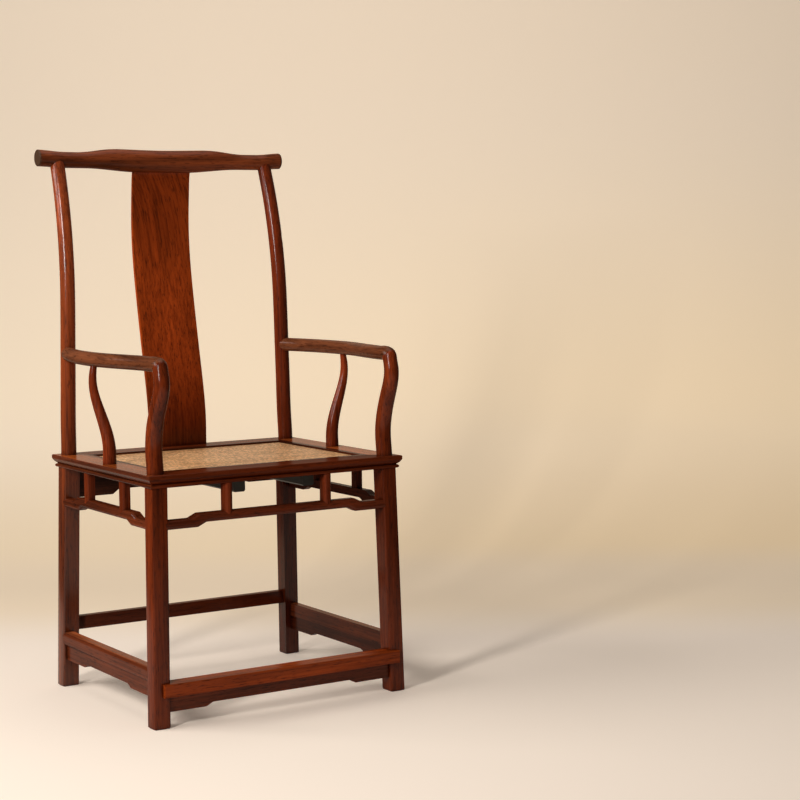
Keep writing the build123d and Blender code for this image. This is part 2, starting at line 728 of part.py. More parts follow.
# Humpback stretchers: one in front, one on each side
hump_leg = leg_axis(-1, (HUMP_LOW_BOTTOM + HUMP_LOW_TOP) / 2)
hump_y = hump_leg.Y - half_leg + BAR_FLUSH
hump_x = hump_leg.X + half_leg - BAR_FLUSH
hump_end_x = hump_leg.X - half_leg
hump_end_y = -hump_leg.Y - half_leg
front_step = hump_end_x - HUMP_FRONT_UPPER_END
side_step = hump_end_y - HUMP_SIDE_UPPER_END

front_hump = on_front(hump_y, hump_bar(hump_leg.X, hump_end_x - HUMP_LOWER_END, front_step))
tenons = bar_tenons(hump_end_x, HUMP_LOW_BOTTOM, HUMP_LOW_TOP, BAR_DEPTH / 2)
tenons = [on_front(hump_y, tenon) for tenon in tenons]
front_hump = scribed(front_hump, front_pair, tenons)
front_leg_cuts += mortises(tenons)

left_hump = on_left(hump_x, hump_bar(-hump_leg.Y, hump_end_y - HUMP_LOWER_END, side_step))
tenons = bar_tenons(hump_end_y, HUMP_LOW_BOTTOM, HUMP_LOW_TOP, BAR_DEPTH / 2)
tenons = [on_left(hump_x, tenon) for tenon in tenons]
left_hump = scribed(left_hump, left_pair, tenons)
front_leg_cuts += mortises(tenons)
rear_leg_cuts += mortises(tenons)

# Struts between the humpback stretchers and the seat frame
strut_depth = STRUT_SIZE / 2 - STRUT_PROUD
for side, sign in SIDES:
    place_x = sign * (front_step - STRUT_FRONT_INSET)
    post, tenon = strut(place_x, hump_y + strut_depth, 0, front_hump)
    parts["front_strut_" + side] = post
    front_hump = front_hump - grown(tenon, JOINT_CLEARANCE)
    front_rail_cuts.append(grown(tenon, JOINT_CLEARANCE))
for place, sign in (("front", -1), ("rear", 1)):
    place_y = sign * (side_step - STRUT_SIDE_INSET)
    post, tenon = strut(hump_x - strut_depth, place_y, 90, left_hump)
    both_sides("side_strut_" + place, post)
    left_hump = left_hump - grown(tenon, JOINT_CLEARANCE)
    left_rail_cuts.append(grown(tenon, JOINT_CLEARANCE))
parts["humpback_stretcher_front"] = front_hump
both_sides("humpback_stretcher", left_hump)

# Rear apron
rear_apron_low = SEAT_UNDERSIDE - REAR_APRON_DROP
apron_leg = leg_axis(1, (rear_apron_low + SEAT_UNDERSIDE) / 2)
board = apron(apron_leg.X - half_leg, rear_apron_low, SEAT_UNDERSIDE, REAR_APRON_RISE, REAR_APRON_END)
parts["rear_apron"] = on_rear(apron_leg.Y + half_leg - REAR_APRON_INSET, board)
rear_leg_cuts.append(parts["rear_apron"])

# Footrest
footrest_low = FOOTREST_TOP - FOOTREST_HEIGHT
footrest_leg = leg_axis(-1, (FOOTREST_TOP + footrest_low) / 2)
footrest_y = footrest_leg.Y - half_leg - FOOTREST_PROUD
footrest_end = footrest_leg.X - half_leg
half_length = footrest_end + FOOTREST_OVERLAP
board = straight_bar(half_length, footrest_low, FOOTREST_TOP, FOOTREST_DEPTH, FOOTREST_EASE)
tenons = bar_tenons(footrest_end, footrest_low, FOOTREST_TOP, (FOOTREST_DEPTH + FOOTREST_PROUD) / 2)
tenons = [on_front(footrest_y, tenon) for tenon in tenons]
parts["footrest"] = scribed(on_front(footrest_y, board), front_pair, tenons)
front_leg_cuts += mortises(tenons)

# Side foot stretchers
side_low = SIDE_STRETCHER_TOP - STRETCHER_HEIGHT
side_leg = leg_axis(-1, side_low + STRETCHER_HEIGHT / 2)
side_x = side_leg.X + half_leg - BAR_FLUSH
board = straight_bar(-side_leg.Y, side_low, SIDE_STRETCHER_TOP, STRETCHER_DEPTH, STRETCHER_ROUND)
tenons = bar_tenons(-side_leg.Y - half_leg, side_low, SIDE_STRETCHER_TOP, STRETCHER_DEPTH / 2)
tenons = [on_left(side_x, tenon) for tenon in tenons]
both_sides("foot_stretcher", scribed(on_left(side_x, board), left_pair, tenons))
front_leg_cuts += mortises(tenons)
rear_leg_cuts += mortises(tenons)

# Rear foot stretcher
rear_low = REAR_STRETCHER_TOP - STRETCHER_HEIGHT
rear_leg = leg_axis(1, rear_low + STRETCHER_HEIGHT / 2)
rear_y = rear_leg.Y + half_leg - BAR_FLUSH
board = straight_bar(rear_leg.X, rear_low, REAR_STRETCHER_TOP, STRETCHER_DEPTH, STRETCHER_ROUND)
tenons = bar_tenons(rear_leg.X - half_leg, rear_low, REAR_STRETCHER_TOP, STRETCHER_DEPTH / 2)
tenons = [on_rear(rear_y, tenon) for tenon in tenons]
parts["foot_stretcher_rear"] = scribed(on_rear(rear_y, board), rear_pair, tenons)
rear_leg_cuts += mortises(tenons)

# Aprons under the footrest and the side stretchers
low = footrest_low - FOOT_APRON_FRONT_DROP
apron_leg = leg_axis(-1, (low + footrest_low) / 2)
board = apron(apron_leg.X - half_leg, low, footrest_low, FOOT_APRON_RISE, FOOT_APRON_FRONT_END)
parts["foot_apron_front"] = on_front(apron_leg.Y - half_leg + FOOT_APRON_INSET, board)
front_leg_cuts.append(parts["foot_apron_front"])

low = side_low - FOOT_APRON_SIDE_DROP
apron_leg = leg_axis(-1, (low + side_low) / 2)
board = apron(-apron_leg.Y - half_leg, low, side_low, FOOT_APRON_RISE, FOOT_APRON_SIDE_END)
both_sides("foot_apron", on_left(apron_leg.X + half_leg - FOOT_APRON_INSET, board))
front_leg_cuts.append(parts["foot_apron_left"])
rear_leg_cuts.append(parts["foot_apron_left"])

# Braces under the cane
for side, sign in SIDES:
    bar, tenon = brace(sign * BRACE_X)
    parts["seat_brace_" + side] = bar
    front_rail_cuts.append(grown(tenon, JOINT_CLEARANCE))
    rear_rail_cuts.append(grown(tenon, JOINT_CLEARANCE))

# Woven seat: palm fibre, cane and the strips that hold them in the rebate
cane_x = OPENING_X + REBATE_WIDTH
cane_y = OPENING_Y + REBATE_WIDTH
fibre_low = SEAT_HEIGHT - REBATE_DEPTH
cane_low = fibre_low + FIBRE_THICKNESS
parts["palm_fibre_underlay"] = block(-cane_x, cane_x, -cane_y, cane_y, fibre_low, cane_low)
parts["cane_seat"] = block(-cane_x, cane_x, -cane_y, cane_y, cane_low, cane_low + CANE_THICKNESS)
parts["cane_strip_front"] = on_front(-cane_y, cane_strip(2 * cane_x))
parts["cane_strip_rear"] = on_rear(cane_y, cane_strip(2 * cane_x))
both_sides("cane_strip", on_left(cane_x, cane_strip(2 * cane_y)))

# Side posts
side_post, lower_mortise, upper_mortise = make_side_post(arm)
both_sides("side_post", side_post)
left_rail_cuts.append(lower_mortise)

# Arm rails: mitred and dowelled to the front posts, tenoned into the rear posts
heading = arm_path() % 1
arm_shoulder = arm_path() @ 1 - heading * rear_post_radius(ARM_HEIGHT)
arm_tenon_ends = (arm_shoulder - heading * TENON_ROOT, arm_shoulder + heading * ARM_TENON_LENGTH)
dowel_ends = mitre_dowel()
arm_rail = largest(arm - rear_post) + pin_between(*arm_tenon_ends, ARM_TENON_RADIUS)
arm_rail = arm_rail - upper_mortise - grown_pin(*dowel_ends, MITRE_DOWEL_RADIUS)
both_sides("arm_rail", arm_rail)
rear_leg_cuts.append(grown_pin(*arm_tenon_ends, ARM_TENON_RADIUS))

# Crest rail on the rear posts' tenons, each held by a peg from behind
tenon_tip = CREST_NECK_UNDER + CREST_TENON_LENGTH
tenon_ends = (rear_post_axis(CREST_NECK_UNDER - TENON_ROOT), rear_post_axis(tenon_tip))
crest_tenon = pin_between(*tenon_ends, CREST_TENON_RADIUS)
peg_back = rear_post_axis(CREST_NECK_UNDER + CREST_TENON_LENGTH / 2) + Vector(0, CREST_DEPTH, 0)
peg_hole = pin_between(peg_back, peg_back - Vector(0, CREST_DEPTH + PEG_REACH, 0), PEG_RADIUS)
peg = peg_hole & crest
crest_cuts = [grown_pin(*tenon_ends, CREST_TENON_RADIUS), peg_hole]
crest_cuts += [mirror_x(tool) for tool in crest_cuts]
parts["crest_rail"] = cut(crest, crest_cuts + [splat])
parts["crest_pegs"] = Compound([peg, mirror_x(peg)])
parts["back_splat"] = splat

# Legs, each one stick with the post above it
rear_stick = largest(rear_post - crest) + crest_tenon - peg_hole + lower_rear
both_sides("rear_leg", cut(rear_stick, rear_leg_cuts))
front_stick = front_post + pin_between(*dowel_ends, MITRE_DOWEL_RADIUS) + lower_front
both_sides("front_leg", cut(front_stick, front_leg_cuts))

# Seat frame around the posts
front_rail, rear_rail, left_rail = make_seat_frame()
front_rail_cuts += [front_post, mirror_x(front_post)]
rear_rail_cuts += [rear_post, mirror_x(rear_post), splat]
left_rail_cuts += [front_post, rear_post]
parts["seat_rail_front"] = cut(front_rail, front_rail_cuts)
parts["seat_rail_rear"] = cut(rear_rail, rear_rail_cuts)
both_sides("seat_rail", cut(left_rail, left_rail_cuts))

boxes = [shape.bounding_box() for shape in parts.values()]
middle_y = (min(box.min.Y for box in boxes) + max(box.max.Y for box in boxes)) / 2

os.makedirs("parts", exist_ok=True)
for name, shape in parts.items():
    export_step(Pos(0, -middle_y, 0) * shape, "parts/" + name + ".step")
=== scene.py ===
from math import cos, pi, radians, sin

import bpy
from mathutils import Matrix, Vector

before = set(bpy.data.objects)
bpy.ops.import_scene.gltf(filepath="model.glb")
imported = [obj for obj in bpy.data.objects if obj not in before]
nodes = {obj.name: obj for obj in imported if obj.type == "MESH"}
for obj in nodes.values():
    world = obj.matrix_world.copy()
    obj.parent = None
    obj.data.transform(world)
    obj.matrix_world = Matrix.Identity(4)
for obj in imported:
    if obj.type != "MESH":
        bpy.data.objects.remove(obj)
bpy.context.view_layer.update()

# Official's hat armchair of polished hardwood with a woven cane seat, on a cream studio sweep.
# Metres, in the CAD's frame: the chair faces -Y and stands on z = 0. Colours are linear.
# The scene adds materials to the CAD pieces, and a stage, lamps and a camera around them.

# ---------------------------------------------------------------- camera
CAMERA_PLACE = Vector((-1.9406, -3.6916, 0.9919))
CAMERA_YAW = radians(33.119)
CAMERA_PITCH = radians(5.603)
CAMERA_ROLL = radians(0.533)
CAMERA_LENS = 86.19
CAMERA_SHIFT_RIGHT = -0.0006
CAMERA_SHIFT_UP = 0.0250
HEADING = Matrix.Rotation(-CAMERA_YAW, 4, "Z")

# ---------------------------------------------------------------- light
# A place is an azimuth in degrees from the camera's side of the chair, a distance and a height.
KEY_POWER = 64.0
KEY_SIZE = (0.40, 1.25)
KEY_PLACE = (-28.0, 3.2, 1.95)
SIDE_POWER = 66.0
SIDE_SIZE = (2.4, 1.2)
SIDE_PLACE = (-76.0, 3.0, 2.3)
TOP_POWER = 22.0
TOP_SIZE = (2.4, 2.4)
TOP_HEIGHT = 3.2
LAMP_TARGET = (0.0, 0.0, 0.7)
FLOOR_TARGET = (0.0, 0.0, 0.0)

# The dim room, the cream that is seen in its place, and how much of that the polish reflects.
WORLD_STRENGTH = 0.04
WORLD_COLOUR = (1.0, 0.95, 0.88, 1.0)
SURROUND = (0.72, 0.57, 0.41, 1.0)
ROOM_REFLECTION = 0.1

# ---------------------------------------------------------------- paper sweep
SWEEP_START = 1.15
SWEEP_RADIUS = 1.6
SWEEP_FRONT = -6.0
SWEEP_LEFT = -1.3
SWEEP_RIGHT = 2.0
SWEEP_HEIGHT = 5.0
SWEEP_STEPS = 24

# What the paper sends on to the chair, and what the camera and reflections see of it. They see the wall
# painted paler than the floor, and a painted glow on the paper, both painted light.
CREAM_BOUNCE = (0.66, 0.55, 0.42, 1.0)
CREAM = (1.23, 1.01, 0.77, 1.0)
CREAM_FLOOR = (1.04, 0.88, 0.73, 1.0)
PAINTED_GLOW = 0.13
FLOOR_TO_WALL = (0.0, 0.5)
PAPER_ROUGHNESS = 0.9

# Painted light, brighter to the right: its level in the middle, and what each metre adds.
PAINTED_LIGHT_MIDDLE = 0.98
PAINTED_LIGHT_GAIN = 0.11

# Painted light: a band low on the wall, between two heights where it comes in and goes out, warmer to
# the right.
PAINTED_LIGHT_BAND = (1.05, 1.04, 0.99, 1.0)
BAND_FOOT = (0.0, 0.06)
BAND_TOP = (1.5, 0.3)
PAINTED_WARM_LIGHT = (1.03, 0.97, 0.84, 1.0)
WARM_ACROSS = (-1.2, 1.9)

# Painted shade at the foot of the wall: it comes in between two distances and goes out between two
# heights.
PAINTED_FAR_SHADE =(0.97, 0.91, 0.77, 1.0)
FAR_FROM = (0.4, 0.95)
FAR_BELOW = (0.35, 0.02)

# ---------------------------------------------------------------- wood tones
# Mean tones of the pieces: one kind of wood, handled and faded to different depths. The rear apron's
# tone is painted darker, as painted shade under the seat.
LEGS = (0.142, 0.021, 0.004)
REAR_LEGS = (0.17, 0.024, 0.005)
SUNNY_LEG = (0.165, 0.030, 0.007)
SIDE_POSTS = (0.22, 0.033, 0.008)
STRUTS = (0.145, 0.023, 0.006)
SPLAT = (0.365, 0.053, 0.007)
CREST = (0.21, 0.046, 0.014)
ARMS = (0.17, 0.050, 0.019)
FRONT_RAIL = (0.135, 0.023, 0.006)
SIDE_RAILS = (0.095, 0.019, 0.006)
FOOTREST = (0.32, 0.050, 0.008)
LONG_BARS = (0.115, 0.020, 0.006)
SIDE_BARS = (0.125, 0.024, 0.007)
FRONT_APRON = (0.185, 0.036, 0.011)
REAR_APRON_PAINTED_SHADE = (0.05, 0.012, 0.005)
DARK_APRON = (0.065, 0.012, 0.004)

# What the tone of the upper faces is multiplied by, as painted light: painted shade darker on the crest's
# top, and painted sheen paler on the seat's side rails and the foot stretchers. A face is an upper one as
# the Z of its normal rises between two values.
CREST_TOP_SHADE = (0.70, 0.85, 0.95)
SEAT_TOP_SHEEN = (3.2, 3.4, 2.0)
FOOT_TOP_SHEEN = (2.6, 3.3, 3.6)
UPWARD = (0.75, 0.95)

# Painted light and shade: depth of tone at heights up a piece, all below the tallest. The front legs are
# painted paler above the seat as painted highlight, the rear legs darker below it as painted shade, the
# sunny rear leg paler up its post as painted highlight, and the splat darker at its foot and under the
# crest as painted shade.
TALLEST = 1.2
FRONT_LEG_PAINTED_LIGHT = [(0.54, 1.0), (0.66, 1.4)]
REAR_LEG_PAINTED_SHADE = [(0.40, 0.62), (0.56, 1.0)]
SUNNY_LEG_PAINTED_LIGHT = [(0.40, 0.85), (0.56, 0.95), (0.85, 1.7), (1.12, 2.1)]
SPLAT_PAINTED_SHADE = [(0.50, 0.28), (0.66, 0.95), (0.90, 1.1), (1.14, 0.75)]

# ---------------------------------------------------------------- wood grain
ALONG_X, ALONG_Y, ALONG_Z = range(3)
WHITE = (1.0, 1.0, 1.0, 1.0)

# Noise cells per metre, across the fibres and along them.
FIGURE_SCALE = (22, 1.3)
STREAK_SCALE = (190, 4)
PORE_SCALE = (430, 42)
CLOUD_SCALE = (5, 2.6)

# How far one unit of a piece's seed moves its grain.
SEED_STEPS = (1.7, 2.3, 3.1)

# Broad figure: how strong it is, and the noise levels of its dark, mean and pale wood.
FIGURE = 0.45
SPLAT_FIGURE = 0.22
CREST_FIGURE = 0.65
FIGURE_LEVELS = (0.30, 0.50, 0.70)

# Noise levels, and what the wood is multiplied by there.
STREAKS = [(0.36, (0.55, 0.50, 0.48, 1.0)), (0.52, WHITE), (0.72, (1.3, 1.28, 1.2, 1.0))]
STREAK_SHARE = 0.8
CLOUDS = [(0.3, (0.74, 0.70, 0.68, 1.0)), (0.7, (1.22, 1.20, 1.16, 1.0))]
CLOUD_SHARE = 0.8

# Pores open between two noise levels.
PORES = (0.56, 0.68)
PORE_SHARE = 0.55
PORE_COLOUR = (0.012, 0.004, 0.002, 1.0)

# End grain, and how far in from the end it fades out.
END_GRAIN = (0.07, 0.035, 0.019, 1.0)
END_DEPTH = 0.006

# Painted shade in the corners, by how open the place is.
CORNER_SHADE =[(0.35, (0.35, 0.32, 0.30, 1.0)), (0.85, WHITE)]
CORNER_SHADE_SHARE = 0.9
CORNER_SHADE_REACH = 0.014
CORNER_SHADE_SAMPLES = 6

# Above a height the splat's grain leans over, by the lean times the cube of the rise above it.
LEAN_FROM = 0.85
LEAN_POWER = 3.0
SPLAT_LEAN = 2.2

# Bare wood without gloss, under wax polish.
BARE_GLOSS = 0.0
BARE_ROUGHNESS = 0.36
STREAK_ROUGHNESS = 0.12
STREAK_RELIEF = 0.4
WOOD_BUMP = 0.10
WOOD_RELIEF = 0.0004
COAT = 0.3
COAT_ROUGHNESS = 0.20

# ---------------------------------------------------------------- cane, lacquer and fibre
# The strands' colours before the gaps, the fibres and the shade of each strand darken them.
CANE_LIGHT = (1.25, 0.74, 0.36, 1.0)
CANE_WORN = (0.95, 0.50, 0.21, 1.0)
CANE_GAP = (0.42, 0.19, 0.07, 1.0)
CANE_RIB = 0.0067
CANE_STRANDS = [(0.0, (0.62, 0.56, 0.50, 1.0)), (0.55, WHITE), (1.0, (1.45, 1.45, 1.4, 1.0))]
KNUCKLE_ACROSS = (0.02, 0.34)
KNUCKLE_ALONG = (0.0, 0.24)
WEAR_SCALE = (7, 16, 7)
WEAR_LEVELS = (0.34, 0.58)
CANE_FIBRE_SCALE = (900, 260, 900)
CANE_FIBRES = [(0.3, 0.6), (0.6, 1.1)]
CANE_FIBRE_SHARE = 0.5
CANE_ROUGHNESS = 0.45
CANE_GLOSS = 0.25
CANE_BUMP = 0.7
CANE_RELIEF = 0.0012

LACQUER = (0.020, 0.018, 0.012, 1.0)
LACQUER_ROUGHNESS = 0.45
PALM_FIBRE = (0.10, 0.05, 0.025, 1.0)
PALM_ROUGHNESS = 0.9
PLAIN_SCALE = (60, 60, 60)
PLAIN_LEVELS = (0.3, 0.7)
PLAIN_DARK = 0.6


# ---------------------------------------------------------------- node graphs
class Graph:
    """A node tree and short calls that add nodes to it and join them."""

    def __init__(self, tree):
        self.tree = tree

    def node(self, kind, inputs=(), **settings):
        made = self.tree.nodes.new(kind)
        for key, value in settings.items():
            setattr(made, key, value)
        for key, value in dict(inputs).items():
            self.feed(made, key, value)
        return made

    def feed(self, node, key, value):
        """Joins a socket to an input, or sets the input to a plain value."""
        if isinstance(value, bpy.types.NodeSocket):
            self.tree.links.new(value, node.inputs[key])
        else:
            node.inputs[key].default_value = value

    def math(self, operation, first, second=0.0, third=0.0):
        made = self.node("ShaderNodeMath", {0: first, 1: second, 2: third}, operation=operation)
        return made.outputs[0]

    def mix(self, kind, share, first, second):
        """Two colours mixed. The node keeps its inputs for colours at 6 and 7, and its result at 2."""
        made = self.node("ShaderNodeMix", data_type="RGBA", blend_type=kind)
        self.feed(made, 0, share)
        self.feed(made, 6, first)
        self.feed(made, 7, second)
        return made.outputs[2]

    def noise(self, vector, detail=2.0, roughness=0.5, distortion=0.0):
        values = {"Vector": vector, "Scale": 1.0, "Detail": detail}
        values.update({"Roughness": roughness, "Distortion": distortion})
        return self.node("ShaderNodeTexNoise", values).outputs["Fac"]

    def ramp(self, value, stops):
        made = self.node("ShaderNodeValToRGB", {"Fac": value})
        elements = made.color_ramp.elements
        elements[0].position, elements[0].color = stops[0]
        elements[1].position, elements[1].color = stops[-1]
        for position, colour in stops[1:-1]:
            elements.new(position).color = colour
        return made.outputs["Color"]

    def levels(self, value, stops):
        """A ramp between grey levels."""
        return self.ramp(value, [(position, (level, level, level, 1.0)) for position, level in stops])

    def fade(self, value, low, high):
        """0 at low, 1 at high, smooth between. Low may be the larger of the two."""
        values = {"Value": value, "From Min": low, "From Max": high}
        made = self.node("ShaderNodeMapRange", values, interpolation_type="SMOOTHSTEP")
        return made.outputs["Result"]

    def place(self):
        return self.node("ShaderNodeTexCoord").outputs["Object"]

    def facing(self):
        """The way the surface faces, in the piece's own axes."""
        return self.node("ShaderNodeTexCoord").outputs["Normal"]

    def axes(self, vector):
        """The X, Y and Z of a vector."""
        return self.node("ShaderNodeSeparateXYZ", {"Vector": vector}).outputs

    def joined(self, x, y, z=0.0):
        """A vector of an X, a Y and a Z."""
        return self.node("ShaderNodeCombineXYZ", {"X": x, "Y": y, "Z": z}).outputs["Vector"]

    def stretched(self, vector, scale, offset=(0, 0, 0)):
        values = {"Vector": vector, "Location": offset, "Scale": scale}
        return self.node("ShaderNodeMapping", values).outputs["Vector"]

    def bump(self, strength, relief, height):
        values = {"Strength": strength, "Distance": relief, "Height": height}
        return self.node("ShaderNodeBump", values).outputs["Normal"]

    def onlookers(self):
        """1 where the camera looks on, and 1 where a reflection or a clear piece does."""
        path = self.node("ShaderNodeLightPath").outputs
        mirrored = self.math("MAXIMUM", path["Is Glossy Ray"], path["Is Transmission Ray"])
        return path["Is Camera Ray"], mirrored


class Surface(Graph):
    """The graph of a new material, with its shader."""

    def __init__(self, name):
        self.material = bpy.data.materials.new(name)
        self.material.use_nodes = True
        super().__init__(self.material.node_tree)
        self.shader = self.tree.nodes["Principled BSDF"]


# ---------------------------------------------------------------- wood
def along(axis, across, lengthwise):
    """Texture scale that runs fibres along an axis."""
    scale = [across, across, across]
    scale[axis] = lengthwise
    return scale


def shade(tone, factor):
    return tuple(factor * value for value in tone[:3]) + (1.0,)


def hardwood(name, axis, seed, tone, figure=FIGURE, lean=None, heights=None, top_light=None, ends=None,
             polish=COAT):
    """Waxed rosewood: broad figure, fine streaks and short dark pores along the grain, and painted shade
    in the corners. Figure is how strong the broad figure is, lean moves the grain sideways, heights gives
    the painted light and shade up the piece, its upper faces are multiplied by painted light, ends is
    where its end grain lies in X, and polish is the share of wax."""
    graph = Surface(name)
    place = graph.place()
    fibre = lean(graph, place) if lean else place
    shift = [seed * step for step in SEED_STEPS]

    def grain(scale, **looks):
        return graph.noise(graph.stretched(fibre, along(axis, *scale), shift), **looks)

    broad = grain(FIGURE_SCALE, detail=3, roughness=0.55, distortion=0.8)
    streaks = grain(STREAK_SCALE, detail=4, roughness=0.6)
    pores = graph.fade(grain(PORE_SCALE), *PORES)
    drift = grain(CLOUD_SCALE)
    tones = [shade(tone, depth) for depth in (1.0 - figure, 1.0, 1.0 + figure)]
    colour = graph.ramp(broad, list(zip(FIGURE_LEVELS, tones)))
    colour = graph.mix("MULTIPLY", STREAK_SHARE, colour, graph.ramp(streaks, STREAKS))
    colour = graph.mix("MIX", graph.math("MULTIPLY", pores, PORE_SHARE), colour, PORE_COLOUR)
    colour = graph.mix("MULTIPLY", CLOUD_SHARE, colour, graph.ramp(drift, CLOUDS))
    colour = end_grain_and_painted_light(graph, place, colour, heights, top_light, ends)
    graph.feed(graph.shader, "Base Color", colour)
    roughness = graph.math("ADD", graph.math("MULTIPLY", streaks, STREAK_ROUGHNESS), BARE_ROUGHNESS)
    graph.feed(graph.shader, "Roughness", roughness)
    relief = graph.math("SUBTRACT", graph.math("MULTIPLY", streaks, STREAK_RELIEF), pores)
    graph.feed(graph.shader, "Normal", graph.bump(WOOD_BUMP, WOOD_RELIEF, relief))
    graph.shader.inputs["Specular IOR Level"].default_value = BARE_GLOSS
    graph.shader.inputs["Coat Weight"].default_value = polish
    graph.shader.inputs["Coat Roughness"].default_value = COAT_ROUGHNESS
    return graph.material


def end_grain_and_painted_light(graph, place, colour, heights, top_light, ends):
    """The wood's colour with painted light and shade by height, its end grain, painted light on its upper
    faces and painted shade in its corners.
    """
    if heights:
        height = graph.math("DIVIDE", graph.axes(place)["Z"], TALLEST)
        depth = graph.levels(height, [(z / TALLEST, level) for z, level in heights])
        colour = graph.mix("MULTIPLY", 1.0, colour, depth)
    if ends:
        beyond = graph.math("ABSOLUTE", graph.axes(place)["X"])
        colour = graph.mix("MIX", graph.fade(beyond, ends - END_DEPTH, ends), colour, END_GRAIN)
    if top_light:
        upward = graph.fade(graph.axes(graph.facing())["Z"], *UPWARD)
        colour = graph.mix("MULTIPLY", upward, colour, (*top_light, 1.0))
    values = {"Distance": CORNER_SHADE_REACH}
    corner = graph.node("ShaderNodeAmbientOcclusion", values, samples=CORNER_SHADE_SAMPLES).outputs["AO"]
    return graph.mix("MULTIPLY", CORNER_SHADE_SHARE, colour, graph.ramp(corner, CORNER_SHADE))


def splat_grain(graph, place):
    """The splat's grain runs straight below and leans over towards its top."""
    parts = graph.axes(place)
    above = graph.math("MAXIMUM", graph.math("SUBTRACT", parts["Z"], LEAN_FROM), 0.0)
    shift = graph.math("MULTIPLY", graph.math("POWER", above, LEAN_POWER), SPLAT_LEAN)
    return graph.joined(graph.math("ADD", parts["X"], shift), parts["Y"], parts["Z"])


# ---------------------------------------------------------------- cane, lacquer and fibre
def woven_cane(name):
    """Split cane woven over and under in ribs that run front to back. Neighbouring ribs are half a strand
    apart, each strand has its own shade, and patches are worn darker."""
    graph = Surface(name)
    place = graph.place()
    parts = graph.axes(place)
    column = graph.math("DIVIDE", parts["X"], CANE_RIB)
    column_number = graph.math("FLOOR", column)
    half_strands = graph.math("MULTIPLY", column_number, 0.5)
    row = graph.math("ADD", graph.math("DIVIDE", parts["Y"], CANE_RIB), half_strands)
    strand = graph.joined(column_number, graph.math("FLOOR", row))
    chance = graph.node("ShaderNodeTexWhiteNoise", {"Vector": strand}).outputs["Value"]
    across = graph.fade(graph.math("PINGPONG", column, 0.5), *KNUCKLE_ACROSS)
    lengthwise = graph.fade(graph.math("PINGPONG", row, 0.5), *KNUCKLE_ALONG)
    knuckle = graph.math("MULTIPLY", across, lengthwise)
    worn = graph.noise(graph.stretched(place, WEAR_SCALE), detail=4, roughness=0.6)
    fibres = graph.noise(graph.stretched(place, CANE_FIBRE_SCALE))
    body = graph.ramp(worn, list(zip(WEAR_LEVELS, (CANE_WORN, CANE_LIGHT))))
    body = graph.mix("MULTIPLY", 1.0, body, graph.ramp(chance, CANE_STRANDS))
    body = graph.mix("MULTIPLY", CANE_FIBRE_SHARE, body, graph.levels(fibres, CANE_FIBRES))
    graph.feed(graph.shader, "Base Color", graph.mix("MIX", knuckle, CANE_GAP, body))
    graph.feed(graph.shader, "Normal", graph.bump(CANE_BUMP, CANE_RELIEF, knuckle))
    graph.shader.inputs["Roughness"].default_value = CANE_ROUGHNESS
    graph.shader.inputs["Specular IOR Level"].default_value = CANE_GLOSS
    return graph.material


def plain(name, colour, roughness):
    """One colour, with darker spots."""
    graph = Surface(name)
    spots = graph.noise(graph.stretched(graph.place(), PLAIN_SCALE), detail=3, roughness=0.6)
    stops = list(zip(PLAIN_LEVELS, (shade(colour, PLAIN_DARK), colour)))
    graph.feed(graph.shader, "Base Color", graph.ramp(spots, stops))
    graph.shader.inputs["Roughness"].default_value = roughness
    return graph.material


# ---------------------------------------------------------------- pieces, by tone and run of the grain
def dress(material, *names):
    for name in names:
        piece = nodes[name]
        piece.data.materials.clear()
        piece.data.materials.append(material)


def both(*names):
    return [name + side for name in names for side in ("_left", "_right")]


def dress_uprights():
    dress(hardwood("wood_rear_leg_left", ALONG_Z, 1.0, REAR_LEGS, heights=REAR_LEG_PAINTED_SHADE, polish=0.5),
          "rear_leg_left")
    dress(hardwood("wood_rear_leg_right", ALONG_Z, 1.5, SUNNY_LEG, heights=SUNNY_LEG_PAINTED_LIGHT, polish=0.75),
          "rear_leg_right")
    dress(hardwood("wood_front_legs", ALONG_Z, 2.0, LEGS, heights=FRONT_LEG_PAINTED_LIGHT, polish=0.35),
          *both("front_leg"))
    dress(hardwood("wood_side_posts", ALONG_Z, 3.0, SIDE_POSTS), *both("side_post"))
    dress(hardwood("wood_struts", ALONG_Z, 4.0, STRUTS),
          *both("front_strut", "side_strut_front", "side_strut_rear"))


def dress_back_and_arms():
    dress(hardwood("wood_splat", ALONG_Z, 5.0, SPLAT, SPLAT_FIGURE, splat_grain, SPLAT_PAINTED_SHADE),
          "back_splat")
    crest_end = nodes["crest_rail"].dimensions.x / 2
    dress(hardwood("wood_crest", ALONG_X, 6.0, CREST, CREST_FIGURE, top_light=CREST_TOP_SHADE, ends=crest_end),
          "crest_rail")
    dress(hardwood("wood_crest_pegs", ALONG_Z, 6.5, CREST), "crest_pegs")
    dress(hardwood("wood_arms", ALONG_Y, 7.0, ARMS), *both("arm_rail"))


def dress_seat():
    dress(hardwood("wood_seat_rail_front", ALONG_X, 8.0, FRONT_RAIL, polish=0.12), "seat_rail_front")
    dress(hardwood("wood_seat_rail_rear", ALONG_X, 8.5, FRONT_RAIL), "seat_rail_rear")
    dress(hardwood("wood_seat_side_rails", ALONG_Y, 9.0, SIDE_RAILS, top_light=SEAT_TOP_SHEEN, polish=0.45),
          *both("seat_rail"))
    dress(hardwood("wood_side_strips", ALONG_Y, 9.2, SIDE_RAILS), *both("cane_strip"))
    dress(hardwood("wood_cane_strips", ALONG_X, 9.5, SIDE_RAILS), "cane_strip_front", "cane_strip_rear")
    dress(plain("dark_lacquer", LACQUER, LACQUER_ROUGHNESS), *both("seat_brace"))
    dress(plain("palm_fibre", PALM_FIBRE, PALM_ROUGHNESS), "palm_fibre_underlay")
    dress(woven_cane("woven_cane"), "cane_seat")


